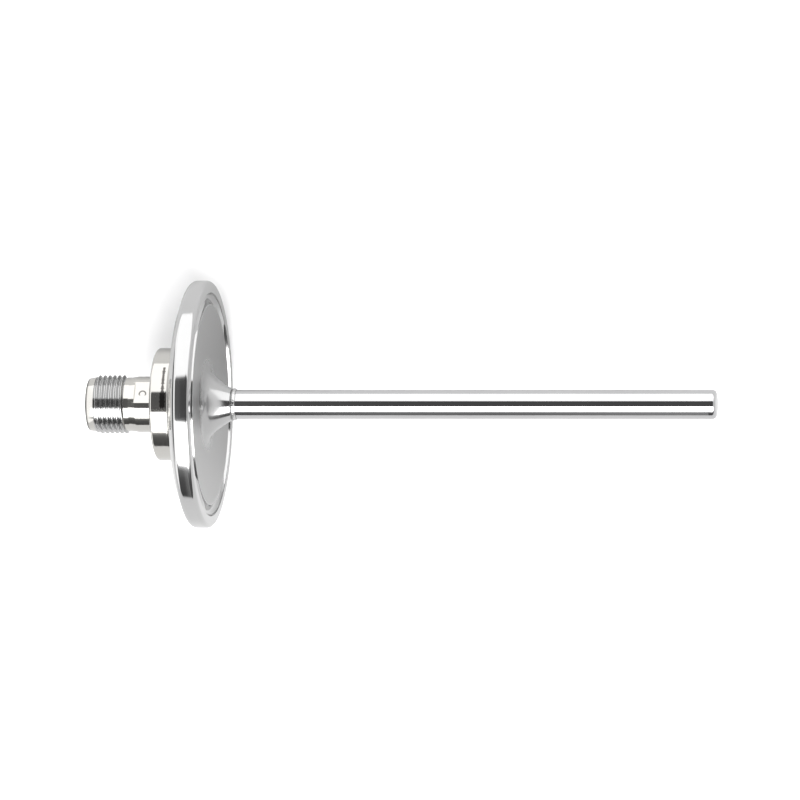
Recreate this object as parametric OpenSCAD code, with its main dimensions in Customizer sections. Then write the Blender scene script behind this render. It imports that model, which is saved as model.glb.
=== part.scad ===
// Resistance thermometer with a hygienic clamp flange and a four-pole M12 connector head.
// Everything is turned about the X axis. X = 0 is the sealing face of the flange,
// the probe points to +X and the connector to -X. Millimetres.

/* [Probe] */
// Length of the probe from the sealing face to its tip
probe_l = 104; // [60:1:200]
// Outer diameter of the sheath tube
sheath_d = 6; // [5.8:0.1:7]
// Wall of the sheath tube
sheath_wall = 0.5; // [0.3:0.05:0.52]
// Thickness of the tip cap beyond the sheath's end
tip_t = 1.6; // [1.2:0.1:3]
// Rounding of the tip's edge
tip_round = 0.9; // [0.3:0.1:1.1]
// Length of the tip cap's spigot inside the sheath
tip_spigot_l = 1.6; // [1:0.1:3]

/* [Clamp flange] */
// Outer diameter of the clamp rim
clamp_d = 50.5; // [49.5:0.5:64]
// Thickness of the rim, from the sealing face to the corner of its back edge
rim_t = 3.5; // [3:0.05:5]
// Angle of the clamp's seat on the back of the rim
taper_deg = 20; // [16:1:25]
// How far the disc's back face stands behind the rim's back edge
back_step = 1.5; // [1.2:0.1:2.4]
// Rounding of the rim's front edge
rim_round = 0.9; // [0.3:0.1:1]
// Rounding of the rim's back edge
rim_back_round = 1.2; // [0.3:0.1:1.4]
// Diameter of the gasket groove's centre line
groove_d = 43.3; // [40:0.1:44]
// Width of the half-round gasket groove
groove_w = 2.3; // [1.6:0.1:2.6]
// Drop of the land inside the groove, below the sealing face
land_drop = 0.1; // [0.1:0.05:0.6]
// Width of that land
land_w = 0.7; // [0.2:0.1:2]
// Further drop of the drained dish, from the land to the nose's root
dish_drop = 0.7; // [0.2:0.05:0.7]
// Metal left between the dish and the potted chamber
floor_t = 3.2; // [2.6:0.1:3.3]

/* [Nose] */
// Length of the trumpet-shaped nose from the sealing face
nose_l = 4.3; // [3.6:0.1:8]
// Wall of the nose's lip round the sheath
lip_t = 0.25; // [0.15:0.05:0.6]
// Radius of the fillet where the dish turns into the nose
root_r = 4.2; // [3:0.1:5]
// Angle that this fillet turns through
root_turn = 48; // [40:1:54]
// Slope of the nose against the axis at its lip
lip_slope = 28; // [18:1:34]
// Width of the weld bead between lip and sheath
weld_w = 1; // [0.6:0.1:2]
// Height of the weld bead above the sheath
weld_h = 0.3; // [0.15:0.05:0.5]
// Depth of the weld's root in the sheath's wall
weld_root = 0.25; // [0.2:0.01:0.28]

/* [Head] */
// Diameter of the hub between flange and collar
hub_d = 18; // [17.4:0.2:20]
// Free length of the hub
hub_l = 1.6; // [1.5:0.05:6]
// Diameter of the hub's spigot inside the collar
hub_spigot_d = 17; // [15:0.2:17.2]
// Fillet at the hub's foot
hub_fillet = 0.6; // [0.2:0.1:1]
// Diameter of the potted chamber
chamber_d = 13; // [10:0.2:14]
// Diameter of the head collar
collar_d = 23; // [20.6:0.2:30]
// Width of the head collar
collar_w = 4.3; // [4:0.1:10]
// Chamfer of the collar's edges
collar_chamfer = 0.6; // [0.2:0.1:1]
// Thickness of the collar's wall round the connector
collar_web = 2.5; // [2.2:0.1:3]

/* [Connector] */
// Major diameter of the connector's thread
thread_d = 12; // [11.8:0.1:13]
// Length of the threaded stretch
thread_l = 6.3; // [6:0.1:12]
// Length of the plain lead-in before the thread
lead_in_l = 1.7; // [1.6:0.1:4]
// Diameter of the lead-in where the thread starts
lead_in_d = 11.3; // [11:0.1:11.6]
// Slope of the lead-in towards the mouth
lead_in_slope = 12; // [4:1:14]
// Diameter of the relief behind the thread
relief_d = 11; // [10.6:0.1:11.2]
// Length of that relief, with the cone that leads up to the shoulder
relief_l = 2.35; // [2:0.05:5]
// Length of that cone
relief_cone_l = 1.4; // [0.4:0.1:1.8]
// Diameter of the plain shoulder
shoulder_d = 11.4; // [11.3:0.1:12]
// Length of the shoulder
shoulder_l = 4.05; // [3.4:0.05:8]
// Distance from the axis to the milled flat on the shoulder
flat_h = 5.17; // [5:0.01:5.6]
// Length of this flat, up to the collar
flat_l = 4.2; // [3:0.05:5]
// Turn of this flat about the axis, from the coding key
flat_turn = 28; // [0:1:90]
// Diameter of the spigot inside the collar
spigot_d = 10.7; // [10.3:0.1:11]
// Diameter of the plug socket
socket_d = 8.6; // [8.4:0.1:8.9]
// Depth of the plug socket, down to the contact carrier
socket_l = 8.5; // [8:0.1:8.8]
// Diameter of the bore behind the socket, which stops the carrier
rear_bore_d = 9.5; // [9.3:0.1:9.7]

/* [Contacts] */
// Length of the carrier in the socket's bore
carrier_l = 3.7; // [3.2:0.1:4]
// Length of the carrier's stop collar
stop_l = 2.6; // [2.2:0.1:2.9]
// Pitch circle of the contact pins
pin_pcd = 5.5; // [5.3:0.1:5.6]
// Diameter of the contact pins
pin_d = 1; // [0.8:0.05:1.2]
// How far the pins' tips lie inside the socket's mouth
pin_recess = 1.3; // [1:0.1:2]
// Diameter of the pins' barrel inside the carrier
barrel_d = 1.6; // [1.4:0.05:1.7]
// Thickness of the carrier in front of the barrels
barrel_web = 1; // [0.6:0.1:1.6]
// Diameter of the solder cups
cup_d = 1.5; // [1.3:0.05:1.5]
// Length of the solder cups behind the carrier
cup_l = 2; // [1.6:0.1:2.2]
// Width of the coding key
key_w = 1.2; // [0.8:0.1:1.6]
// Height of the coding key
key_h = 0.6; // [0.4:0.05:0.7]
// How far the key's end lies inside the socket's mouth
key_recess = 1.5; // [1:0.1:3]
// Section diameter of the carrier's seal ring
seal_d = 0.75; // [0.6:0.05:0.8]

/* [Measuring insert] */
// Diameter of the sensing element
element_d = 2.8; // [2.6:0.1:3.6]
// Length of the sensing element
element_l = 15; // [8:0.5:20]
// Room between the element and the tip cap
element_end = 0.8; // [0.4:0.1:2]
// Diameter of the four-bore insulator
insulator_d = 4.8; // [4.4:0.1:4.8]
// Bare lead length between insulator and element
joint_l = 1; // [0.5:0.1:3]
// Pitch circle of the insulator's bores
bore_pcd = 2.3; // [2:0.1:2.5]
// Diameter of those bores
bore_d = 0.8; // [0.7:0.05:1]
// Diameter of the lead wires
lead_d = 0.5; // [0.3:0.05:0.6]
// Turn of the leads' bends in the chamber
lead_turn = 70; // [62:1:80]
// Wall of the shrink sleeves on the solder cups
sleeve_t = 0.2; // [0.1:0.05:0.25]
// Length of the sleeves' tails on the leads
sleeve_tail = 0.9; // [0.5:0.1:1]

/* [Fits] */
// Radial clearance of pieces that seat in each other
seat_gap = 0.02; // [0.01:0.01:0.03]
// Depth of the seat that stops the sheath in the flange
seat_l = 0.8; // [0.5:0.1:1.5]
// Axial clearance of the hub's spigot in the collar
spigot_gap = 0.2; // [0.1:0.05:0.4]

/* [Hidden] */
$fn = 96;
POLES = 4;
EDGE = 0.3; // small edge breaks
ARC_STEP = 6; // degrees between the points of an arc
SWELL = 0.01; // extra radius of the balls that join a lead's stretches

function numbered(name) = [for (i = [1:POLES]) str(name, "_", i)];

// Radii
sheath_r = sheath_d / 2;
sheath_in_r = sheath_r - sheath_wall;
weld_root_r = sheath_r - weld_root;
rim_r = clamp_d / 2;
groove_r = groove_d / 2;
lip_r = sheath_r + seat_gap + lip_t;
spigot_r = spigot_d / 2;
hub_spigot_r = hub_spigot_d / 2;
socket_r = socket_d / 2;
rear_bore_r = rear_bore_d / 2;
thread_r = thread_d / 2;
lead_in_r = lead_in_d / 2;
relief_r = relief_d / 2;
shoulder_r = shoulder_d / 2;
pin_ring_r = pin_pcd / 2;
bore_ring_r = bore_pcd / 2;
cup_r = cup_d / 2;
lead_r = lead_d / 2;
cup_bore_r = lead_r + seat_gap;
sleeve_r = cup_r + seat_gap + sleeve_t;
tail_r = lead_r + seat_gap + sleeve_t;
seal_groove_r = rear_bore_r - seal_d - 2 * seat_gap;

// Stations along X, from the sealing face back to the connector's mouth
land_x = -land_drop;
dish_x = land_x - dish_drop;
chamber_x = dish_x - floor_t;
rim_back_x = -rim_t;
back_x = rim_back_x - back_step;
collar_front_x = back_x - hub_l;
collar_back_x = collar_front_x - collar_w;
spigot_end_x = collar_back_x + collar_web;
hub_end_x = spigot_end_x + spigot_gap;
relief_x = collar_back_x - shoulder_l;
thread_end_x = relief_x - relief_l;
thread_x = thread_end_x - thread_l;
mouth_x = thread_x - lead_in_l;

// Stations of the contacts
carrier_x = mouth_x + socket_l;
stop_x = carrier_x + carrier_l;
carrier_back_x = stop_x + stop_l;
pin_x = mouth_x + pin_recess;
barrel_x = carrier_x + barrel_web;
cup_end_x = carrier_back_x + cup_l;
cup_floor_x = carrier_back_x + EDGE;
tail_end_x = cup_end_x + sleeve_tail;
seal_x = (stop_x + carrier_back_x) / 2;

// Stations of the nose and the probe
sheath_x = chamber_x + seat_l;
weld_x = nose_l;
weld_end_x = weld_x + weld_w;
sheath_end_x = probe_l - tip_t;
cap_x = sheath_end_x - tip_spigot_l;
element_end_x = cap_x - element_end;
element_x = element_end_x - element_l;
insulator_end_x = element_x - joint_l;

// S-shaped bend of the leads, from the contacts' circle in to the insulator's bores
bend_drop = pin_ring_r - bore_ring_r;
bend_r = bend_drop / (2 * (1 - cos(lead_turn)));
bend_l = 2 * bend_r * sin(lead_turn);
bend_end_x = chamber_x - EDGE;
bend_x = bend_end_x - bend_l;

// The nose: a fillet out of the dish, then a long flare that is tangent to it and ends at the lip
flare_turn = 90 - lip_slope;
fillet_end_x = dish_x + root_r * (1 - cos(root_turn));
flare_r = (nose_l - fillet_end_x) / (cos(root_turn) - cos(flare_turn));
fillet_end_r = lip_r + flare_r * (sin(flare_turn) - sin(root_turn));
root_ring_r = fillet_end_r + root_r * sin(root_turn);

// Points [radius, x] of an arc about [cr, cx], from angle a to angle b against the radial axis
function arc(cr, cx, r, a, b) =
    let (n = max(2, ceil(abs(b - a) / ARC_STEP)))
    [for (i = [0:n]) let (t = a + (b - a) * i / n) [cr + r * cos(t), cx + r * sin(t)]];

// Turns a profile of [radius, x] points about the X axis
module turned() {
    rotate([0, 90, 0]) rotate_extrude() children();
}

// A plain round bar along X
module bar(x0, x1, r) {
    translate([x0, 0, 0]) rotate([0, 90, 0]) cylinder(h = x1 - x0, r = r);
}

// Carries its children, made at radius 0, out to pole i on a circle
module at_pole(i, ring_r) {
    rotate([360 / POLES * (i - 0.5), 0, 0]) translate([0, 0, ring_r]) children();
}

// One turned shell, with a milled flat. Its thread is the plain cylinder of the crests.
module connector_shell() {
    front_r = lead_in_r - (lead_in_l - EDGE) * tan(lead_in_slope);
    color("gainsboro")
    difference() {
        turned() polygon([
            [socket_r, mouth_x + EDGE], [socket_r + EDGE, mouth_x],
            [front_r - EDGE, mouth_x], [front_r, mouth_x + EDGE],
            [lead_in_r, thread_x], [thread_r, thread_x + thread_r - lead_in_r],
            [thread_r, thread_end_x - thread_r + relief_r], [relief_r, thread_end_x],
            [relief_r, relief_x - relief_cone_l], [shoulder_r, relief_x],
            [shoulder_r, collar_back_x], [spigot_r, collar_back_x], [spigot_r, spigot_end_x],
            [rear_bore_r, spigot_end_x], [rear_bore_r, stop_x], [socket_r, stop_x]
        ]);
        rotate([-flat_turn, 0, 0])
            translate([collar_back_x - flat_l, -shoulder_r, flat_h])
                cube([flat_l, shoulder_d, shoulder_r]);
    }
}

module head_collar() {
    r = collar_d / 2;
    c = collar_chamfer;
    web_r = spigot_r + seat_gap;
    bore_r = hub_spigot_r + seat_gap;
    color("gainsboro")
    turned() polygon([
        [web_r, collar_back_x], [r - c, collar_back_x], [r, collar_back_x + c],
        [r, collar_front_x - c], [r - c, collar_front_x], [bore_r, collar_front_x],
        [bore_r, spigot_end_x], [web_r, spigot_end_x]
    ]);
}

// One turned piece: hub and spigot, tapered rim, gasket groove, drained dish and trumpet nose
module clamp_flange() {
    hub_r = hub_d / 2;
    foot_r = hub_r + hub_fillet;
    taper_r = rim_r - back_step / tan(taper_deg);
    seat_edge_x = rim_back_x + rim_back_round * tan((90 - taper_deg) / 2);
    groove_edge_r = groove_r - sqrt(pow(groove_w / 2, 2) - pow(land_drop, 2));
    color("silver")
    turned() difference() {
        polygon(concat(
            [[sheath_r + seat_gap, sheath_x], [sheath_r + seat_gap, nose_l]],
            arc(lip_r + flare_r * sin(flare_turn), nose_l + flare_r * cos(flare_turn), flare_r,
                180 + 90 - flare_turn, 180 + 90 - root_turn),
            arc(root_ring_r, dish_x + root_r, root_r, 180 + 90 - root_turn, 180 + 90),
            [[groove_edge_r - land_w, land_x], [groove_r, land_x], [groove_r, 0]],
            arc(rim_r - rim_round, -rim_round, rim_round, 90, 0),
            arc(rim_r - rim_back_round, seat_edge_x, rim_back_round, 0, taper_deg - 90),
            [[taper_r, back_x]],
            arc(foot_r, back_x - hub_fillet, hub_fillet, 90, 180),
            [[hub_r, collar_front_x], [hub_spigot_r, collar_front_x], [hub_spigot_r, hub_end_x]],
            [[chamber_d / 2, hub_end_x], [chamber_d / 2, chamber_x]],
            [[sheath_in_r, chamber_x], [sheath_in_r, sheath_x]]
        ));
        translate([groove_r, 0]) circle(r = groove_w / 2);
    }
}

// Orbital weld that seals the lip to the sheath: a crowned bead with its root in the sheath's wall
module weld_ring() {
    foot_r = sheath_r + seat_gap + weld_h / 4;
    crown_r = sheath_r + seat_gap + weld_h;
    steps = 10;
    color("whitesmoke")
    turned() polygon(concat(
        [[weld_root_r + seat_gap, weld_x]],
        [for (i = [0:steps]) [
            foot_r + (crown_r - foot_r) * sin(180 * i / steps), weld_x + weld_w * i / steps]],
        [[weld_root_r + seat_gap, weld_end_x]]
    ));
}

// Drawn tube, with the recess that the weld's root fills
module probe_sheath() {
    color("silver")
    turned() polygon([
        [sheath_in_r, sheath_x], [sheath_r, sheath_x],
        [sheath_r, weld_x - seat_gap], [weld_root_r, weld_x - seat_gap],
        [weld_root_r, weld_end_x + seat_gap], [sheath_r, weld_end_x + seat_gap],
        [sheath_r, sheath_end_x], [sheath_in_r, sheath_end_x]
    ]);
}

module tip_cap() {
    color("silver")
    turned() polygon(concat(
        [[0, cap_x], [sheath_in_r - seat_gap, cap_x], [sheath_in_r - seat_gap, sheath_end_x]],
        [[sheath_r, sheath_end_x]],
        arc(sheath_r - tip_round, probe_l - tip_round, tip_round, 0, 90),
        [[0, probe_l]]
    ));
}

// Insulating carrier of the contacts, with its stop collar, seal groove and coding key
module contact_carrier() {
    front_r = socket_r - seat_gap;
    stop_r = rear_bore_r - seat_gap;
    groove_half = seal_d / 2 + seat_gap;
    color("dimgray") {
        difference() {
            turned() polygon([
                [0, carrier_x], [front_r, carrier_x], [front_r, stop_x],
                [stop_r, stop_x], [stop_r, seal_x - groove_half],
                [seal_groove_r, seal_x - groove_half], [seal_groove_r, seal_x + groove_half],
                [stop_r, seal_x + groove_half], [stop_r, carrier_back_x], [0, carrier_back_x]
            ]);
            for (i = [1:POLES]) at_pole(i, pin_ring_r) {
                bar(carrier_x - 1, carrier_back_x + 1, pin_d / 2 + seat_gap);
                bar(barrel_x, carrier_back_x + 1, barrel_d / 2 + seat_gap);
            }
        }
        intersection() {
            difference() {
                bar(mouth_x + key_recess, carrier_x + EDGE, front_r);
                bar(mouth_x, carrier_x + 1, front_r - key_h);
            }
            translate([mouth_x, -key_w / 2, 0]) cube([socket_l + 1, key_w, socket_r]);
        }
    }
}

module carrier_seal() {
    color("black")
    turned() translate([seal_groove_r + seat_gap + seal_d / 2, seal_x]) circle(r = seal_d / 2);
}

// Contact i: rounded pin, barrel in the carrier and solder cup behind it
module contact_pin(i) {
    r = pin_d / 2;
    tip = r * 0.8;
    color("gold")
    at_pole(i, pin_ring_r) turned() polygon(concat(
        [[0, pin_x]],
        arc(r - tip, pin_x + tip, tip, -90, 0),
        [[r, barrel_x], [barrel_d / 2, barrel_x], [barrel_d / 2, carrier_back_x]],
        [[cup_r, carrier_back_x], [cup_r, cup_end_x], [cup_bore_r, cup_end_x]],
        [[cup_bore_r, cup_floor_x], [0, cup_floor_x]]
    ));
}

// A lead's route at pole i, as a bar of radius r with two bends. The balls at its
// joints are a hair thicker, so that bars and bends are one solid.
module lead_route(i, r) {
    mid_r = (pin_ring_r + bore_ring_r) / 2;
    joints = [[bend_x, pin_ring_r], [bend_x + bend_l / 2, mid_r], [bend_end_x, bore_ring_r]];
    rotate([360 / POLES * (i - 0.5), 0, 0]) {
        translate([0, 0, pin_ring_r]) bar(cup_floor_x, bend_x, r);
        rotate([90, 0, 0]) {
            translate([bend_x, pin_ring_r - bend_r, 0]) rotate([0, 0, 90 - lead_turn])
                rotate_extrude(angle = lead_turn) translate([bend_r, 0]) circle(r = r);
            translate([bend_end_x, bore_ring_r + bend_r, 0]) rotate([0, 0, -90 - lead_turn])
                rotate_extrude(angle = lead_turn) translate([bend_r, 0]) circle(r = r);
        }
        for (p = joints) translate([p[0], 0, p[1]]) sphere(r = r + SWELL);
        translate([0, 0, bore_ring_r]) bar(bend_end_x, element_x - seat_gap, r);
    }
}

module lead_wire(i) {
    color("lightgray") lead_route(i, lead_r);
}

// Shrink sleeve i: wide over the solder cup, narrow over the lead
module lead_sleeve(i) {
    inner_r = cup_r + seat_gap;
    lead_bore_r = lead_r + seat_gap;
    step_x = cup_end_x + seat_gap;
    color("firebrick")
    at_pole(i, pin_ring_r) turned() polygon([
        [inner_r, carrier_back_x + seat_gap], [sleeve_r, carrier_back_x + seat_gap],
        [sleeve_r, cup_end_x], [tail_r, cup_end_x + sleeve_t + seat_gap], [tail_r, tail_end_x],
        [lead_bore_r, tail_end_x], [lead_bore_r, step_x], [inner_r, step_x]
    ]);
}

// Cast resin that fills the head behind the contact carrier
module potting() {
    neck_r = rear_bore_r - seat_gap;
    fill_r = chamber_d / 2 - seat_gap;
    g = seat_gap;
    color("darkslategray")
    difference() {
        turned() polygon([
            [0, carrier_back_x], [neck_r, carrier_back_x], [neck_r, spigot_end_x],
            [fill_r, spigot_end_x], [fill_r, chamber_x], [0, chamber_x]
        ]);
        for (i = [1:POLES]) {
            lead_route(i, lead_r + SWELL + g);
            at_pole(i, pin_ring_r) {
                bar(carrier_back_x - 1, cup_end_x + g, sleeve_r + g);
                turned() polygon([
                    [0, cup_end_x], [sleeve_r + g, cup_end_x + g], [tail_r + g, cup_end_x + sleeve_t + 2 * g],
                    [tail_r + g, tail_end_x + g], [0, tail_end_x + g]
                ]);
            }
        }
    }
}

module bore_insulator() {
    color("ivory")
    difference() {
        bar(chamber_x, insulator_end_x, insulator_d / 2);
        for (i = [1:POLES]) at_pole(i, bore_ring_r) bar(chamber_x - 1, insulator_end_x + 1, bore_d / 2);
    }
}

module rtd_element() {
    r = element_d / 2;
    c = EDGE / 2;
    color("white")
    turned() polygon([
        [0, element_x], [r - c, element_x], [r, element_x + c],
        [r, element_end_x - c], [r - c, element_end_x], [0, element_end_x]
    ]);
}

// Heat-conducting cement that beds the element in the tip
module tip_cement() {
    outer_r = sheath_in_r - seat_gap;
    inner_r = element_d / 2 + seat_gap;
    color("lightgrey")
    turned() polygon([
        [inner_r, element_x], [outer_r, element_x], [outer_r, cap_x],
        [0, cap_x], [0, element_end_x], [inner_r, element_end_x]
    ]);
}

connector_shell();
head_collar();
clamp_flange();
weld_ring();
probe_sheath();
tip_cap();
contact_carrier();
carrier_seal();
potting();
bore_insulator();
rtd_element();
tip_cement();
for (i = [1:POLES]) {
    contact_pin(i);
    lead_wire(i);
    lead_sleeve(i);
}
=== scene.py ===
"""Looks of a hygienic RTD probe with an M12 connector head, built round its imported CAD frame.

The probe lies along X with its sealing face at X = 0, tip towards +X. Metres, like the frame.
"""

import math

import bmesh
import bpy
from mathutils import Matrix, Vector


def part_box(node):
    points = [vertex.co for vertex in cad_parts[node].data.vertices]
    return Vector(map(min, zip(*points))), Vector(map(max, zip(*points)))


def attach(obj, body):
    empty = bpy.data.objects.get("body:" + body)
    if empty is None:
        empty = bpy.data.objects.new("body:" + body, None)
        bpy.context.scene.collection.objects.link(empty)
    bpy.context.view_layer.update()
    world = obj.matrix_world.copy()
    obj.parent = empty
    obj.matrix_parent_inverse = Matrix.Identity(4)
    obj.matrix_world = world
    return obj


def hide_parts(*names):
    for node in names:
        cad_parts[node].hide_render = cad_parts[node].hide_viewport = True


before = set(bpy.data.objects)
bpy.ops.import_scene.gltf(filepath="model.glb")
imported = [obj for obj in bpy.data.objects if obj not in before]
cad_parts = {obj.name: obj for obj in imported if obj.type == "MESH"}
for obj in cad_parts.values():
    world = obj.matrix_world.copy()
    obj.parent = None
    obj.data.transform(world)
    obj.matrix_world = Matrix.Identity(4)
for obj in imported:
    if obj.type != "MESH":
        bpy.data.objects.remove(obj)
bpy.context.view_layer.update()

MM = 0.001
ROUND = 256  # segments round a turned piece
FLANGE_ROUND = 384  # and round the flange, the widest

# ---------------------------------------------------------------- sizes, from the frame


def span(node):
    """First and last X of a CAD node, and its outer radius."""
    lo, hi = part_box(node)
    return lo.x, hi.x, hi.z


hub_end_x, nose_x, rim_r = span("clamp_flange")
collar_back_x, collar_front_x, collar_r = span("head_collar")
mouth_x, spigot_end_x, thread_r = span("connector_shell")
weld_x, weld_end_x, bead_r = span("weld_ring")
sheath_x, sheath_end_x, sheath_r = span("probe_sheath")
cap_x, tip_x, _ = span("tip_cap")

# Sizes that a box doesn't give
FIT = 0.02 * MM  # gap between turned pieces that fit together

# The flange, from its rim inwards
RIM_T = 3.5 * MM
RIM_ROUND = 0.9 * MM
RIM_BACK_ROUND = 1.2 * MM
TAPER = math.radians(20)
BACK_STEP = 1.5 * MM  # how far the tapered seat steps back behind the rim
SEAT_ROUND = 0.4 * MM  # where the seat meets the back
GROOVE_R = 21.65 * MM  # centre line of the half-round gasket groove
GROOVE_HALF = 1.15 * MM
GROOVE_END = math.radians(-264)  # where the groove's arc gives way to its outer edge
GROOVE_EDGE_ROUND = 0.08 * MM
LAND_DROP = 0.1 * MM  # the narrow land between groove and dish
LAND_W = 0.7 * MM
LAND_ROUND = 0.25 * MM
LAND_LIP_ROUND = 0.05 * MM
DISH_DROP = 0.7 * MM
ROOT_R = 4.2 * MM  # arc between dish and nose
ROOT_TURN = math.radians(48)
FLARE_TURN = math.radians(90 - 28)
LIP_R = sheath_r + 0.27 * MM
FLOOR_T = 3.2 * MM  # steel between the dish and the chamber behind it
CHAMBER_R = 6.5 * MM
HUB_R = 9.0 * MM
HUB_SPIGOT_R = 8.5 * MM
HUB_FILLET = 0.6 * MM

# The collar
COLLAR_WEB = 2.5 * MM
COLLAR_BACK_ROUND = 0.6 * MM
COLLAR_FRONT_ROUND = 0.9 * MM

# The connector shell, from its spigot to its mouth
SPIGOT_R = 5.35 * MM
REAR_BORE_R = 4.75 * MM
SOCKET_R = 4.3 * MM
SHOULDER_R = 5.7 * MM
SHOULDER_L = 4.05 * MM
RELIEF_R = 5.5 * MM
RELIEF_L = 2.35 * MM
RELIEF_CONE_L = 1.4 * MM
RELIEF_ROUND = 0.4 * MM
FLAT_H = 5.17 * MM
FLAT_L = 4.2 * MM
FLAT_TURN = math.radians(28)
LEAD_IN_L = 1.7 * MM
LEAD_IN_R = 5.65 * MM
LEAD_IN_SLOPE = math.radians(12)
MOUTH_ROUND = 0.45 * MM
MOUTH_EDGE = 0.3 * MM  # rounding of the socket's mouth
STOP_L = 2.6 * MM  # the carrier's stop collar, which the socket's step holds
stop_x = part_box("contact_carrier")[1].x - STOP_L

# The thread
PITCH = 1.0 * MM
THREAD_H = 0.6 * MM
CREST_W = PITCH / 8
FLANK_W = THREAD_H * math.tan(math.radians(30))
CREST_ROUND = 0.04 * MM
THREAD_ROOT_ROUND = 0.1 * MM
LAST_CREST = 0.46 * PITCH  # from the last crest on the +Z side to the thread's end
RUN_OUT_SLOPE = 6  # how steeply the last crest drops to the relief
ROOT_END_SLOPE = 2  # how steeply the root rises at both ends

# The sheath, its weld and its tip
SHEATH_IN_R = sheath_r - 0.5 * MM
WELD_ROOT_R = sheath_r - 0.25 * MM
RIPPLES = 44  # overlapping spots of the orbital weld
RIPPLE_DEPTH = 0.012 * MM
RIPPLE_BOW = 5  # how far a ripple lags behind across the bead, in radians
BEAD_FOOT = 0.07 * MM  # the bead's height at its edges
TOE = 0.10 * MM  # fine line between the bead and the sheath
TIP_ROUND = 0.9 * MM
TIP_DOME = 0.06 * MM


# ---------------------------------------------------------------- mesh helpers


def new_piece(name, bm, material, node=None, sharp=35):
    """Turns a bmesh into a smooth-shaded piece that rides on the body and may replace a node."""
    bmesh.ops.remove_doubles(bm, verts=bm.verts, dist=1e-7)
    bmesh.ops.recalc_face_normals(bm, faces=bm.faces)
    mesh = bpy.data.meshes.new(name)
    bm.to_mesh(mesh)
    bm.free()
    mesh.shade_smooth()
    mesh.set_sharp_from_angle(angle=math.radians(sharp))
    mesh.materials.append(material)
    piece = bpy.data.objects.new(name, mesh)
    bpy.context.scene.collection.objects.link(piece)
    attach(piece, "root")
    if node:
        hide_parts(node)
    return piece


def arc(cx, cr, r, start, end, steps):
    """Points (x, radius) of an arc about (cx, cr); angles in radians, from +X towards outwards."""
    turns = [start + (end - start) * i / steps for i in range(steps + 1)]
    return [(cx + r * math.cos(t), cr + r * math.sin(t)) for t in turns]


def rounded(corners, steps=5):
    """Profile points from corners (x, radius) or (x, radius, fillet): each fillet becomes an arc."""
    points = []
    count = len(corners)
    for i, corner in enumerate(corners):
        here = Vector(corner[:2])
        fillet = corner[2] if len(corner) > 2 else 0.0
        if not fillet:
            points.append(tuple(here))
            continue
        back = Vector(corners[i - 1][:2]) - here
        ahead = Vector(corners[(i + 1) % count][:2]) - here
        half = back.angle(ahead) / 2
        reach = min(fillet / math.tan(half), back.length * 0.49, ahead.length * 0.49)
        r = reach * math.tan(half)
        back.normalize()
        ahead.normalize()
        centre = here + (back + ahead).normalized() * (r / math.sin(half))
        first = here + back * reach - centre
        last = here + ahead * reach - centre
        for s in range(steps + 1):
            points.append(tuple(centre + first.slerp(last, s / steps).normalized() * r))
    return points


def lathe(profile, segments=ROUND, closed=True):
    """A bmesh turned about the X axis from points (x, radius). A radius of 0 makes a pole."""
    bm = bmesh.new()
    rings = []
    for x, r in profile:
        if r < 1e-7:
            rings.append([bm.verts.new((x, 0, 0))])
            continue
        turns = [2 * math.pi * i / segments for i in range(segments)]
        rings.append([bm.verts.new((x, r * math.sin(t), r * math.cos(t))) for t in turns])
    pairs = list(zip(rings, rings[1:]))
    if closed:
        pairs.append((rings[-1], rings[0]))
    for a, b in pairs:
        join_rings(bm, a, b)
    return bm


def join_rings(bm, a, b):
    """Faces between two rings, either of which may be a pole."""
    count = max(len(a), len(b))
    if count == 1:
        return
    for i in range(count):
        j = (i + 1) % count
        corners = [a[i % len(a)], a[j % len(a)], b[j % len(b)], b[i % len(b)]]
        unique = list(dict.fromkeys(corners))
        if len(unique) > 2:
            bm.faces.new(unique)


# ---------------------------------------------------------------- materials


BUMP_DEPTH = 0.02 * MM
# The etched marks' dark colour and roughness; the dark colour also paints shade round the
# connector's mouth
ETCHED_AND_SHADE, ETCHED_ROUGH = (0.11, 0.105, 0.10, 1), 0.12


class Nodes:
    """A short way to wire shader nodes."""

    def __init__(self, tree):
        self.tree = tree
        tree.nodes.clear()

    def add(self, kind, **settings):
        node = self.tree.nodes.new(kind)
        for key, value in settings.items():
            setattr(node, key, value)
        return node

    def link(self, source, target):
        self.tree.links.new(source, target)

    def put(self, target, value):
        if hasattr(value, "is_output"):
            self.link(value, target)
        else:
            target.default_value = value

    def math(self, operation, *values, clamp=False):
        node = self.add("ShaderNodeMath", operation=operation, use_clamp=clamp)
        for socket, value in zip(node.inputs, values):
            self.put(socket, value)
        return node.outputs[0]

    def remap(self, value, from_min, from_max, to_min, to_max):
        node = self.add("ShaderNodeMapRange")
        for socket, v in zip(node.inputs, (value, from_min, from_max, to_min, to_max)):
            self.put(socket, v)
        return node.outputs[0]

    def blend(self, factor, a, b):
        node = self.add("ShaderNodeMix", data_type="RGBA")
        self.put(node.inputs["Factor"], factor)
        self.put(node.inputs[6], a)
        self.put(node.inputs[7], b)
        return node.outputs[2]

    def combine(self, x, y, z):
        node = self.add("ShaderNodeCombineXYZ")
        for socket, value in zip(node.inputs, (x, y, z)):
            self.put(socket, value)
        return node.outputs[0]

    def noise(self, vector, scale, detail=3.0, roughness=0.5):
        node = self.add("ShaderNodeTexNoise")
        self.link(vector, node.inputs["Vector"])
        node.inputs["Scale"].default_value = scale
        node.inputs["Detail"].default_value = detail
        node.inputs["Roughness"].default_value = roughness
        return node.outputs["Fac"]

    def bump(self, height, strength, shader):
        node = self.add("ShaderNodeBump")
        node.inputs["Strength"].default_value = strength
        node.inputs["Distance"].default_value = BUMP_DEPTH
        self.link(height, node.inputs["Height"])
        self.link(node.outputs[0], shader.inputs["Normal"])


def new_material(name, viewport):
    material = bpy.data.materials.new(name)
    material.use_nodes = True
    material.diffuse_color = (*viewport, 1)
    return material, Nodes(material.node_tree)


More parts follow.
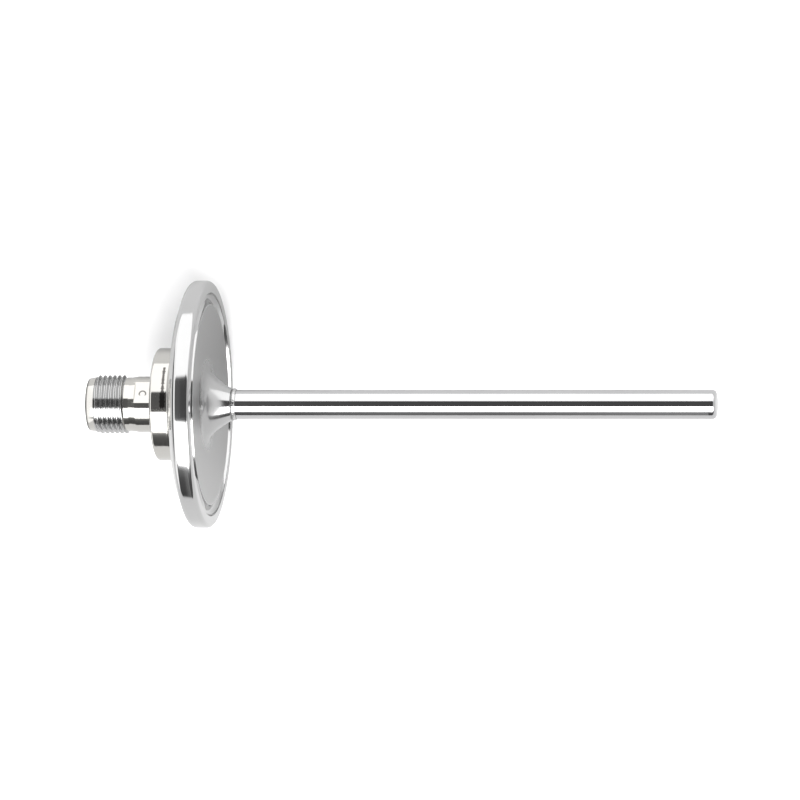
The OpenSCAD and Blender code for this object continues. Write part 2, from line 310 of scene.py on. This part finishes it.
def turned_coordinates(n):
    """Object position, distance from the X axis and the angle round it."""
    place = n.add("ShaderNodeTexCoord").outputs["Object"]
    split = n.add("ShaderNodeSeparateXYZ")
    n.link(place, split.inputs[0])
    x, y, z = split.outputs
    radius = n.math("SQRT", n.math("ADD", n.math("MULTIPLY", y, y), n.math("MULTIPLY", z, z)))
    return place, x, radius, n.math("ARCTAN2", y, z)


def steel(
    name, tint, rough, lines=0.0, line_scale=9000.0, mottle=0.03, band=None,
    satin=None, satin_and_shade_tint=0.36, satin_rough=0.30,
):
    """Turned stainless steel: circular tool marks of strength `lines`, and slight mottling.

    `band` gives where it is etched dark, and where shade is painted dark round the connector's
    mouth; `satin` gives where the finish is satin and duller, and on the cut thread its darker tint
    is painted shade.
    """
    material, n = new_material(name, tint)
    place, x, radius, angle = turned_coordinates(n)
    marks = n.noise(n.combine(x, radius, 0.0), line_scale, 4.0, 0.6)
    cloud = n.noise(place, 120.0, 4.0, 0.55)
    shader = n.add("ShaderNodeBsdfPrincipled")
    shader.inputs["Metallic"].default_value = 1.0
    dark = tuple(c * (1 - 2 * mottle) for c in tint)
    colour = n.blend(n.remap(cloud, 0.3, 0.7, 0.0, 1.0), (*dark, 1), (*tint, 1))
    roughness = n.remap(cloud, 0.3, 0.7, rough * 0.8, rough * 1.25)
    if satin:
        # The satin finish; on the shell's cut thread its darker tint is painted shade
        satin_and_shade = satin(n, x, radius)
        colour = n.blend(satin_and_shade, colour, (satin_and_shade_tint, satin_and_shade_tint, satin_and_shade_tint, 1))
        roughness = n.remap(satin_and_shade, 0.0, 1.0, roughness, satin_rough)
    if band:
        # Etched marks, and the painted shade round the connector's mouth
        etched = band(n, x, radius, angle)
        colour = n.blend(etched, colour, ETCHED_AND_SHADE)
        roughness = n.remap(etched, 0.0, 1.0, roughness, ETCHED_ROUGH)
    n.put(shader.inputs["Base Color"], colour)
    n.put(shader.inputs["Roughness"], roughness)
    if lines:
        n.bump(marks, lines, shader)
    n.link(shader.outputs[0], n.add("ShaderNodeOutputMaterial").inputs[0])
    return material


def moulded(name, tint, rough, grain=0.3, scale=2500.0, metallic=0.0, coat=0.0):
    """A non-turned finish: plastic, rubber, resin, ceramic or plated metal, with a fine grain."""
    material, n = new_material(name, tint)
    place = n.add("ShaderNodeTexCoord").outputs["Object"]
    fine = n.noise(place, scale, 3.0)
    cloud = n.noise(place, scale / 12, 3.0)
    shader = n.add("ShaderNodeBsdfPrincipled")
    shader.inputs["Metallic"].default_value = metallic
    shader.inputs["Coat Weight"].default_value = coat
    dark = tuple(c * 0.82 for c in tint)
    n.put(shader.inputs["Base Color"], n.blend(cloud, (*dark, 1), (*tint, 1)))
    n.put(shader.inputs["Roughness"], n.remap(fine, 0.3, 0.7, rough * 0.8, min(1.0, rough * 1.2)))
    n.bump(fine, grain, shader)
    n.link(shader.outputs[0], n.add("ShaderNodeOutputMaterial").inputs[0])
    return material


def window(n, value, low, high, soft):
    """1 where value lies between low and high, with soft edges."""
    rise = n.remap(value, low - soft, low + soft, 0.0, 1.0)
    fall = n.remap(value, high - soft, high + soft, 1.0, 0.0)
    return n.math("MULTIPLY", rise, fall)


DISH_FADE = 0.2 * MM  # the satin fades out over this at the land
LIP_FADE = 7 * MM  # and over this towards the nose's lip
DISH_BACK_X = -2 * MM  # nothing behind this is satin


def dish(n, x, radius):
    """Satin in the drained dish inside the gasket groove, fading to polish at the nose's lip."""
    edge = GROOVE_R - GROOVE_HALF
    inside = n.remap(radius, edge - DISH_FADE, edge, 1.0, 0.0)
    lip = n.remap(radius, LIP_R, LIP_R + LIP_FADE, 0.15, 1.0)
    front = n.math("GREATER_THAN", x, DISH_BACK_X)
    return n.math("MULTIPLY", n.math("MULTIPLY", inside, lip), front)


MOUTH_PAINTED_SHADE = (0.35 * MM, 0.55 * MM)  # painted shade at the mouth's edge: where it starts to fade, and ends
ARCH_BACK = 2.5 * MM  # the arch's centre, from the collar
ARCH_SIDE = -0.33 * MM  # and from the middle of the flat
ARCH_R = 0.66 * MM
ARCH_LINE = (0.10 * MM, 0.20 * MM)  # half its line's width: where it starts to fade, and ends
ARCH_FEET = (-0.5 * MM, -0.1 * MM)  # its feet fade out here


def shell_marks_and_shade(n, x, radius, angle):
    """Painted shade as a dark edge round the connector's mouth, and a small plain arch etched on the
    flat.
    """
    # Painted shade: the mouth's edge is painted dark, standing in for the shadowed floor that it
    # mirrors
    edge = n.remap(n.math("SUBTRACT", x, mouth_x), *MOUTH_PAINTED_SHADE, 0.8, 0.0)
    across = n.math("MULTIPLY", radius, n.math("SINE", n.math("SUBTRACT", angle, FLAT_TURN)))
    dx = n.math("SUBTRACT", x, collar_back_x - ARCH_BACK)
    dy = n.math("SUBTRACT", across, ARCH_SIDE)
    far = n.math("SQRT", n.math("ADD", n.math("MULTIPLY", dx, dx), n.math("MULTIPLY", dy, dy)))
    off = n.math("ABSOLUTE", n.math("SUBTRACT", far, ARCH_R))
    line = n.remap(off, *ARCH_LINE, 0.9, 0.0)
    arch = n.math("MULTIPLY", line, n.remap(dy, *ARCH_FEET, 0.0, 1.0))
    return n.math("MAXIMUM", edge, arch)


THREAD_FADE = 0.05 * MM
NEAR_BORE = 0.5 * MM  # closer to the socket than this isn't the outside


def thread_cut_and_shade(n, x, radius):
    """The cut thread's duller finish, on the shell's outside only; its darker tint is painted shade,
    standing in for the shade between the thread's flanks.
    """
    start, end = mouth_x + LEAD_IN_L, collar_back_x - SHOULDER_L - RELIEF_L
    outside = n.math("GREATER_THAN", radius, SOCKET_R + NEAR_BORE)
    return n.math("MULTIPLY", window(n, x, start, end, THREAD_FADE), outside)


BAR_BACK = 1.45 * MM  # the bar's centre line, from the collar's front
BAR_HALF = (0.1 * MM, 0.42 * MM)  # half its width, at its narrowest and widest
BAR_START, BAR_END = math.radians(-4), math.radians(41)  # the bar, round the collar
BROAD_END = math.radians(13)  # its first stretch, which ends here,
BROAD_MORE = 0.28 * MM  # is broader by this on each side
BAR_FADE = 0.04 * MM
BAR_DEPTH = 0.1 * MM  # only this near the outside is etched


def collar_marks(n, x, radius, angle):
    """A plain etched bar on the collar's outside, with a finely hatched, ragged edge."""
    ragged = n.noise(n.combine(n.math("MULTIPLY", angle, collar_r), 0.0, 0.0), 2600.0, 1.0)
    half = n.remap(ragged, 0.3, 0.7, *BAR_HALF)
    broad = window(n, angle, BAR_START, BROAD_END, math.radians(1))
    half = n.math("ADD", half, n.math("MULTIPLY", broad, BROAD_MORE))
    off = n.math("ABSOLUTE", n.math("SUBTRACT", x, collar_front_x - BAR_BACK))
    strip = n.remap(n.math("SUBTRACT", off, half), -BAR_FADE, BAR_FADE, 1.0, 0.0)
    outside = n.math("GREATER_THAN", radius, collar_r - BAR_DEPTH)
    stretch = window(n, angle, BAR_START, BAR_END, math.radians(0.6))
    return n.math("MULTIPLY", n.math("MULTIPLY", strip, stretch), outside)


# The steels' tints: the flange is neutral, and the head slightly warm
BRIGHT = (0.54, 0.54, 0.54)
WARM = (0.57, 0.56, 0.535)

polished_rod = steel("polished_rod", (0.56, 0.56, 0.565), 0.06, lines=0.04)
flange_steel = steel("flange_steel", BRIGHT, 0.09, lines=0.06, satin=dish)
collar_steel = steel("collar_steel", WARM, 0.09, lines=0.10, band=collar_marks)
# The cut thread's darker satin tint is painted shade, all over the thread's outside
shell_steel = steel(
    "shell_steel", WARM, 0.08, lines=0.06, band=shell_marks_and_shade,
    satin=thread_cut_and_shade, satin_and_shade_tint=0.46, satin_rough=0.15,
)
weld_steel = steel("weld_steel", (0.60, 0.60, 0.60), 0.26)
pin_gold = moulded("pin_gold", (0.86, 0.62, 0.26), 0.18, grain=0.1, metallic=1.0)
carrier_plastic = moulded("carrier_plastic", (0.035, 0.035, 0.038), 0.45)
seal_rubber = moulded("seal_rubber", (0.02, 0.02, 0.02), 0.6)
resin = moulded("resin", (0.03, 0.045, 0.05), 0.25, coat=0.3)
white_ceramic = moulded("white_ceramic", (0.85, 0.82, 0.74), 0.5, scale=4000.0)
cement = moulded("cement", (0.62, 0.62, 0.60), 0.85, grain=0.8, scale=1500.0)
nickel = moulded("nickel", (0.72, 0.71, 0.69), 0.25, grain=0.1, metallic=1.0)
red_sleeve = moulded("red_sleeve", (0.40, 0.04, 0.03), 0.4)


# ---------------------------------------------------------------- pieces


def flange_profile():
    """Hub, rim, groove, dish and nose, as one closed profile from the nose's lip."""
    dish_x = -LAND_DROP - DISH_DROP
    fillet_end_x = dish_x + ROOT_R * (1 - math.cos(ROOT_TURN))
    flare = (nose_x - fillet_end_x) / (math.cos(ROOT_TURN) - math.cos(FLARE_TURN))
    fillet_end_r = LIP_R + flare * (math.sin(FLARE_TURN) - math.sin(ROOT_TURN))
    ring_r = fillet_end_r + ROOT_R * math.sin(ROOT_TURN)
    bore_r = sheath_r + FIT
    chamber_x = dish_x - FLOOR_T
    back_x = -RIM_T - BACK_STEP
    taper_r = rim_r - BACK_STEP / math.tan(TAPER)
    groove_in = GROOVE_R - math.sqrt(GROOVE_HALF**2 - LAND_DROP**2)
    flare_arc = arc(
        nose_x + flare * math.cos(FLARE_TURN), LIP_R + flare * math.sin(FLARE_TURN), flare,
        math.pi + FLARE_TURN, math.pi + ROOT_TURN, 20,
    )
    root_arc = arc(dish_x + ROOT_R, ring_r, ROOT_R, math.pi + ROOT_TURN, math.pi, 24)
    front = rounded([
        root_arc[-1],
        (-LAND_DROP, groove_in - LAND_W, LAND_ROUND),
        (-LAND_DROP, groove_in, LAND_LIP_ROUND),
        (-LAND_DROP - 0.2 * MM, groove_in + 0.03 * MM),  # only turns the rounding before it
    ])[1:-1]
    start = -math.pi / 2 - math.asin((LAND_DROP + GROOVE_EDGE_ROUND) / GROOVE_HALF)
    groove = arc(0, GROOVE_R, GROOVE_HALF, start, GROOVE_END, 24)
    rest = rounded([
        groove[-1],
        (0, GROOVE_R + GROOVE_HALF, GROOVE_EDGE_ROUND),
        (0, rim_r, RIM_ROUND),
        (-RIM_T, rim_r, RIM_BACK_ROUND),
        (back_x, taper_r, SEAT_ROUND),
        (back_x, HUB_R, HUB_FILLET),
        (collar_front_x, HUB_R),
        (collar_front_x, HUB_SPIGOT_R),
        (hub_end_x, HUB_SPIGOT_R),
        (hub_end_x, CHAMBER_R),
        (chamber_x, CHAMBER_R),
        (chamber_x, SHEATH_IN_R),
        (sheath_x, SHEATH_IN_R),
        (sheath_x, bore_r),
        (nose_x, bore_r),
    ], steps=12)[1:]
    return flare_arc + root_arc[1:] + front + groove + rest


def make_flange():
    bm = lathe(flange_profile(), FLANGE_ROUND)
    new_piece("flange", bm, flange_steel, "clamp_flange")


def make_collar():
    web_r = SPIGOT_R + FIT
    bore_r = HUB_SPIGOT_R + FIT
    steps = 8
    profile = rounded([
        (collar_back_x, web_r),
        (collar_back_x, collar_r, COLLAR_BACK_ROUND),
        (collar_front_x, collar_r, COLLAR_FRONT_ROUND),
        (collar_front_x, bore_r),
        (collar_back_x + COLLAR_WEB, bore_r),
        (collar_back_x + COLLAR_WEB, web_r),
    ], steps=steps)
    # Two more rings just inside the rounded edges keep the cylinder's shading straight
    profile[steps + 2:steps + 2] = [
        (collar_back_x + COLLAR_BACK_ROUND + FIT, collar_r),
        (collar_front_x - COLLAR_FRONT_ROUND - FIT, collar_r),
    ]
    new_piece("collar", lathe(profile), collar_steel, "head_collar")


def add_thread(bm, start, end):
    """Adds the right-handed M12x1 thread: rows of points that drop back one pitch in each turn."""
    root_r = thread_r - THREAD_H
    tooth = rounded([
        (-FLANK_W, root_r),
        (0, thread_r, CREST_ROUND),
        (CREST_W, thread_r, CREST_ROUND),
        (CREST_W + FLANK_W, root_r, THREAD_ROOT_ROUND),
        (PITCH - FLANK_W, root_r, THREAD_ROOT_ROUND),
        (PITCH, thread_r),
    ], steps=2)[1:-1]
    turns = math.ceil((end - start) / PITCH) + 3
    first = end - LAST_CREST - CREST_W / 2 - (turns - 2) * PITCH
    rows = [(first + PITCH * turn + along, r) for turn in range(turns) for along, r in tooth]
    points = []
    for along, crest_r in rows:
        points.append([])
        for i in range(ROUND):
            x = min(max(along - PITCH * i / ROUND, start), end)
            into, left = x - start, end - x
            r = min(crest_r, LEAD_IN_R + into, RELIEF_R + RUN_OUT_SLOPE * left)
            r = max(r, LEAD_IN_R - ROOT_END_SLOPE * into, RELIEF_R - ROOT_END_SLOPE * left)
            turn = 2 * math.pi * i / ROUND
            points[-1].append(bm.verts.new((x, r * math.sin(turn), r * math.cos(turn))))
    for row in range(len(tooth), len(rows) - 1):
        near = points[row] + [points[row - len(tooth)][0]]
        far = points[row + 1] + [points[row + 1 - len(tooth)][0]]
        for i in range(ROUND):
            bm.faces.new((near[i], near[i + 1], far[i + 1], far[i]))


def make_shell():
    """Connector shell: a turned profile, the helical thread, and a milled flat."""
    relief_x = collar_back_x - SHOULDER_L
    thread_end = relief_x - RELIEF_L
    thread_start = mouth_x + LEAD_IN_L
    front_r = LEAD_IN_R - (LEAD_IN_L - MOUTH_EDGE) * math.tan(LEAD_IN_SLOPE)
    profile = rounded([
        (thread_end, RELIEF_R),
        (relief_x - RELIEF_CONE_L, RELIEF_R, RELIEF_ROUND),
        (relief_x, SHOULDER_R, RELIEF_ROUND),
        (collar_back_x, SHOULDER_R),
        (collar_back_x, SPIGOT_R),
        (spigot_end_x, SPIGOT_R),
        (spigot_end_x, REAR_BORE_R),
        (stop_x, REAR_BORE_R),
        (stop_x, SOCKET_R),
        (mouth_x, SOCKET_R, MOUTH_EDGE),
        (mouth_x, front_r, MOUTH_ROUND),
        (thread_start, LEAD_IN_R),
    ], steps=8)
    bm = lathe(profile, closed=False)
    add_thread(bm, thread_start, thread_end)
    bmesh.ops.remove_doubles(bm, verts=bm.verts, dist=2e-6)
    piece = new_piece("shell", bm, shell_steel, "connector_shell", sharp=50)
    cut_flat(piece, collar_back_x - FLAT_L, collar_back_x)


def cut_flat(piece, start, end):
    """Mills the flat from start to end into a piece, and shades the result again."""
    bm = bmesh.new()
    bmesh.ops.create_cube(bm, size=1)
    size = Vector((end - start, 2.4 * SHOULDER_R, 2 * MM))  # wider and higher than what it cuts
    for v in bm.verts:
        v.co = Vector((v.co.x * size.x, v.co.y * size.y, v.co.z * size.z))
        v.co += Vector(((start + end) / 2, 0, FLAT_H + size.z / 2))
    bm.transform(Matrix.Rotation(-FLAT_TURN, 4, "X"))
    mesh = bpy.data.meshes.new("flat_cutter")
    bm.to_mesh(mesh)
    bm.free()
    cutter = bpy.data.objects.new("flat_cutter", mesh)
    bpy.context.scene.collection.objects.link(cutter)
    cut = piece.modifiers.new("flat", "BOOLEAN")
    cut.operation = "DIFFERENCE"
    cut.solver = "EXACT"
    cut.object = cutter
    graph = bpy.context.evaluated_depsgraph_get()
    milled = bpy.data.meshes.new_from_object(piece.evaluated_get(graph))
    piece.modifiers.clear()
    old = piece.data
    piece.data = milled
    bpy.data.meshes.remove(old)
    bpy.data.objects.remove(cutter)
    bpy.data.meshes.remove(mesh)
    milled.shade_smooth()
    milled.set_sharp_from_angle(angle=math.radians(40))


def make_weld():
    """The bead: a low crown with the shallow ripples of a pulsed orbital weld, and its root."""
    width = weld_end_x - weld_x
    foot_r = sheath_r + FIT + BEAD_FOOT
    steps = 12
    profile = [(weld_x, WELD_ROOT_R + FIT)]
    for i in range(steps + 1):
        crown = math.sin(math.pi * i / steps)
        profile.append((weld_x + width * i / steps, foot_r + (bead_r - foot_r) * crown))
    profile.append((weld_end_x, WELD_ROOT_R + FIT))
    bm = lathe(profile, 8 * RIPPLES)
    for v in bm.verts:
        r = math.hypot(v.co.y, v.co.z)
        crown = max(0.0, (r - foot_r) / (bead_r - foot_r))
        share = (v.co.x - weld_x) / width
        phase = RIPPLES * math.atan2(v.co.y, v.co.z) + RIPPLE_BOW * share * share
        scale = 1 - RIPPLE_DEPTH * crown * (1 + math.cos(phase)) / r
        v.co.y *= scale
        v.co.z *= scale
    new_piece("weld", bm, weld_steel, "weld_ring")


def make_sheath():
    profile = [
        (sheath_x, sheath_r), (weld_x - FIT, sheath_r), (weld_x - FIT, WELD_ROOT_R),
        (weld_end_x + TOE, WELD_ROOT_R), (weld_end_x + TOE, sheath_r),
        (sheath_end_x, sheath_r), (sheath_end_x, SHEATH_IN_R), (sheath_x, SHEATH_IN_R),
    ]
    new_piece("sheath", lathe(profile), polished_rod, "probe_sheath")


def make_tip():
    """Cap with a rounded edge and a very slightly domed end."""
    corner = arc(
        tip_x - TIP_DOME - TIP_ROUND, sheath_r - TIP_ROUND, TIP_ROUND,
        math.radians(90), math.radians(6), 10,
    )
    spigot_r = SHEATH_IN_R - FIT
    end_r = corner[-1][1]
    steps = 6
    shares = [1 - s / steps for s in range(1, steps + 1)]
    face = [(corner[-1][0] + (tip_x - corner[-1][0]) * (1 - t**2), end_r * t) for t in shares]
    profile = [(cap_x, 0), (cap_x, spigot_r), (sheath_end_x, spigot_r), (sheath_end_x, sheath_r)]
    profile += corner + face
    bm = lathe(profile, closed=False)
    new_piece("tip", bm, polished_rod, "tip_cap")


make_flange()
make_collar()
make_shell()
make_weld()
make_sheath()
make_tip()


def dress(node, material):
    """Gives a carried-over CAD node its material."""
    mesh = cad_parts[node].data
    mesh.materials.clear()
    mesh.materials.append(material)
    mesh.shade_smooth()
    mesh.set_sharp_from_angle(angle=math.radians(30))


dress("contact_carrier", carrier_plastic)
dress("carrier_seal", seal_rubber)
dress("potting", resin)
dress("bore_insulator", white_ceramic)
dress("rtd_element", white_ceramic)
dress("tip_cement", cement)
for i in range(1, 5):
    dress(f"contact_pin_{i}", pin_gold)
    dress(f"lead_wire_{i}", nickel)
    dress(f"lead_sleeve_{i}", red_sleeve)


# ---------------------------------------------------------------- camera, light and floor

TILT = math.radians(9.3)  # the camera is overhead and leans this far towards the tip
TO_CAMERA = Vector((math.sin(TILT), 0, math.cos(TILT)))
TARGET = Vector((0.03901, 0.0009, 0))  # the middle of the picture
FIELD = 0.16267  # width of the picture there
LENS, SENSOR = 400.0, 36.0  # a long lens, so that the view has little perspective


def make_camera():
    data = bpy.data.cameras.new("camera")
    data.lens = LENS
    data.sensor_width = SENSOR
    data.clip_start = 0.05
    data.clip_end = 50.0
    camera = bpy.data.objects.new("camera", data)
    bpy.context.scene.collection.objects.link(camera)
    camera.location = TARGET + TO_CAMERA * (FIELD * LENS / SENSOR)
    across = Vector((0, 1, 0)).cross(TO_CAMERA)
    turn = Matrix((across, Vector((0, 1, 0)), TO_CAMERA)).transposed()
    camera.rotation_euler = turn.to_euler()
    bpy.context.scene.camera = camera


def make_floor():
    """A plain pale floor that the rim just touches. For every ray but the camera's it is painted
    darker: painted shade, seen in the steel's reflections and in the light the floor throws back.
    """
    near, far = 0.34, 0.7
    z = -rim_r
    mesh = bpy.data.meshes.new("floor")
    corners = [(-far, -near, z), (far, -near, z), (far, far, z), (-far, far, z)]
    mesh.from_pydata(corners, [], [(0, 1, 2, 3)])
    material, n = new_material("floor_white", (0.9, 0.9, 0.9))
    place = n.add("ShaderNodeTexCoord").outputs["Object"]
    shader = n.add("ShaderNodeBsdfDiffuse")
    cloud = n.noise(place, 3.0, 2.0)
    paper = n.blend(cloud, (0.82, 0.82, 0.82, 1), (0.84, 0.84, 0.845, 1))
    seen = n.add("ShaderNodeLightPath").outputs["Is Camera Ray"]
    # Painted shade: the floor is darker for all but camera rays, so the steel mirrors it as if
    # shadowed
    n.put(shader.inputs["Color"], n.blend(seen, (0.42, 0.42, 0.42, 1), paper))
    n.link(shader.outputs[0], n.add("ShaderNodeOutputMaterial").inputs[0])
    mesh.materials.append(material)
    floor = bpy.data.objects.new("floor", mesh)
    bpy.context.scene.collection.objects.link(floor)


# The studio round the probe, as (angle in degrees from the camera's side towards +Y, brightness):
# softboxes and the dark gaps between them, which all run along the probe
DARK = 0.16
SIDE_BOX, KEY_BOX, BACKDROP = 1.9, 5.5, 0.9
RING = [
    (-180, BACKDROP), (-99, BACKDROP), (-97, 0.08), (-75, 0.13), (-66, 0.26), (-61, 0.95),
    (-59.5, KEY_BOX), (-18, KEY_BOX), (-16.5, DARK), (26, DARK), (27.5, SIDE_BOX),
    (106, SIDE_BOX), (108, BACKDROP), (180, BACKDROP),
]
# What is seen along the probe, as (the direction's share of X, brightness)
TAIL_END = [(-1.0, 0.12), (-0.88, 0.12), (-0.82, 1.8)]
TIP_END = [(0.86, 1.2), (0.92, 1.2), (0.97, 0.5), (1.0, 0.5)]
RING_FROM, RING_TO = (-0.52, -0.47), (0.80, 0.85)  # the ring fades in and out here
# The dark gap at the floor's edge, in degrees as in the ring, reaches further towards the tip
GAP, GAP_REACH = (-98, -61), 0.10
# and is lighter where the sheath mirrors it, as (the direction's share of X, added brightness)
GAP_LIFT = [(-0.173, 0.0), (-0.166, 0.16), (-0.146, 0.09), (-0.126, 0.38), (-0.120, 0.0)]
# The dark gap overhead is darker there by this
OVERHEAD, OVERHEAD_DIM = (-18, 27), 0.06
SHEATH_FROM = (-0.182, -0.178)  # what the sheath mirrors begins here
FILL = 0.25  # share of the studio's light that falls on the floor
KEY = 7.1  # strength of the broad soft light from overhead
KEY_ANGLE = math.radians(56)
KEY_FROM = Vector((0.1, -0.6, 1.0))


def ramp_of(n, stops, value, low, high, unit=1):
    """A ramp of value from low to high, through stops (place, brightness) in the given unit.

    Brightness comes out as a share of the brightest box.
    """
    node = n.add("ShaderNodeValToRGB")
    n.link(n.remap(value, low * unit, high * unit, 0.0, 1.0), node.inputs[0])
    elements = node.color_ramp.elements
    elements.remove(elements[-1])
    for i, (at, level) in enumerate(stops):
        place = (at - low) / (high - low)
        element = elements[0] if i == 0 else elements.new(place)
        element.position = place
        element.color = (*[level / KEY_BOX] * 3, 1)
    return node.outputs[0]


def make_studio():
    """World light in strips that run along the probe, and a plain pale backdrop for the camera."""
    world = bpy.data.worlds.new("studio")
    world.use_nodes = True
    bpy.context.scene.world = world
    n = Nodes(world.node_tree)
    direction = n.add("ShaderNodeTexCoord").outputs["Generated"]
    split = n.add("ShaderNodeSeparateXYZ")
    n.link(direction, split.inputs[0])
    x, y, z = split.outputs
    up = n.math("ADD", n.math("MULTIPLY", x, TO_CAMERA.x), n.math("MULTIPLY", z, TO_CAMERA.z))
    turn = n.math("ARCTAN2", y, up)
    strips = ramp_of(n, RING, turn, -180, 180, math.pi / 180)
    ends = ramp_of(n, TAIL_END + TIP_END, x, -1, 1)
    gap = window(n, turn, *map(math.radians, GAP), math.radians(2))
    lift = n.math("MULTIPLY", ramp_of(n, GAP_LIFT, x, GAP_LIFT[0][0], GAP_LIFT[-1][0]), gap)
    overhead = window(n, turn, *map(math.radians, OVERHEAD), math.radians(1))
    dim = n.math("MULTIPLY", n.remap(x, *SHEATH_FROM, 0.0, OVERHEAD_DIM / KEY_BOX), overhead)
    strips = n.math("SUBTRACT", n.math("ADD", strips, lift), dim)
    reach = n.math("SUBTRACT", x, n.math("MULTIPLY", gap, GAP_REACH))
    inside = n.math(
        "MULTIPLY",
        n.remap(x, *RING_FROM, 0.0, 1.0),
        n.remap(reach, *RING_TO, 1.0, 0.0),
    )
    studio = n.add("ShaderNodeMix", data_type="RGBA", blend_type="MULTIPLY")
    studio.inputs["Factor"].default_value = 1.0
    n.link(n.blend(inside, ends, strips), studio.inputs[6])
    studio.inputs[7].default_value = (KEY_BOX, KEY_BOX, KEY_BOX, 1)
    path = n.add("ShaderNodeLightPath").outputs
    seen = n.blend(path["Is Camera Ray"], studio.outputs[2], (1.0, 1.0, 1.0, 1))
    background = n.add("ShaderNodeBackground")
    n.link(seen, background.inputs[0])
    n.link(n.remap(path["Is Diffuse Ray"], 0.0, 1.0, 1.0, FILL), background.inputs[1])
    n.link(background.outputs[0], n.add("ShaderNodeOutputWorld").inputs[0])


def make_key():
    """A broad soft light over the probe, which only the floor and the plastic pieces show."""
    data = bpy.data.lights.new("key", "SUN")
    data.energy = KEY
    data.angle = KEY_ANGLE
    key = bpy.data.objects.new("key", data)
    key.rotation_euler = KEY_FROM.to_track_quat("Z", "Y").to_euler()
    key.visible_glossy = False
    bpy.context.scene.collection.objects.link(key)


make_camera()
make_floor()
make_studio()
make_key()
bpy.context.scene.view_settings.view_transform = "Standard"
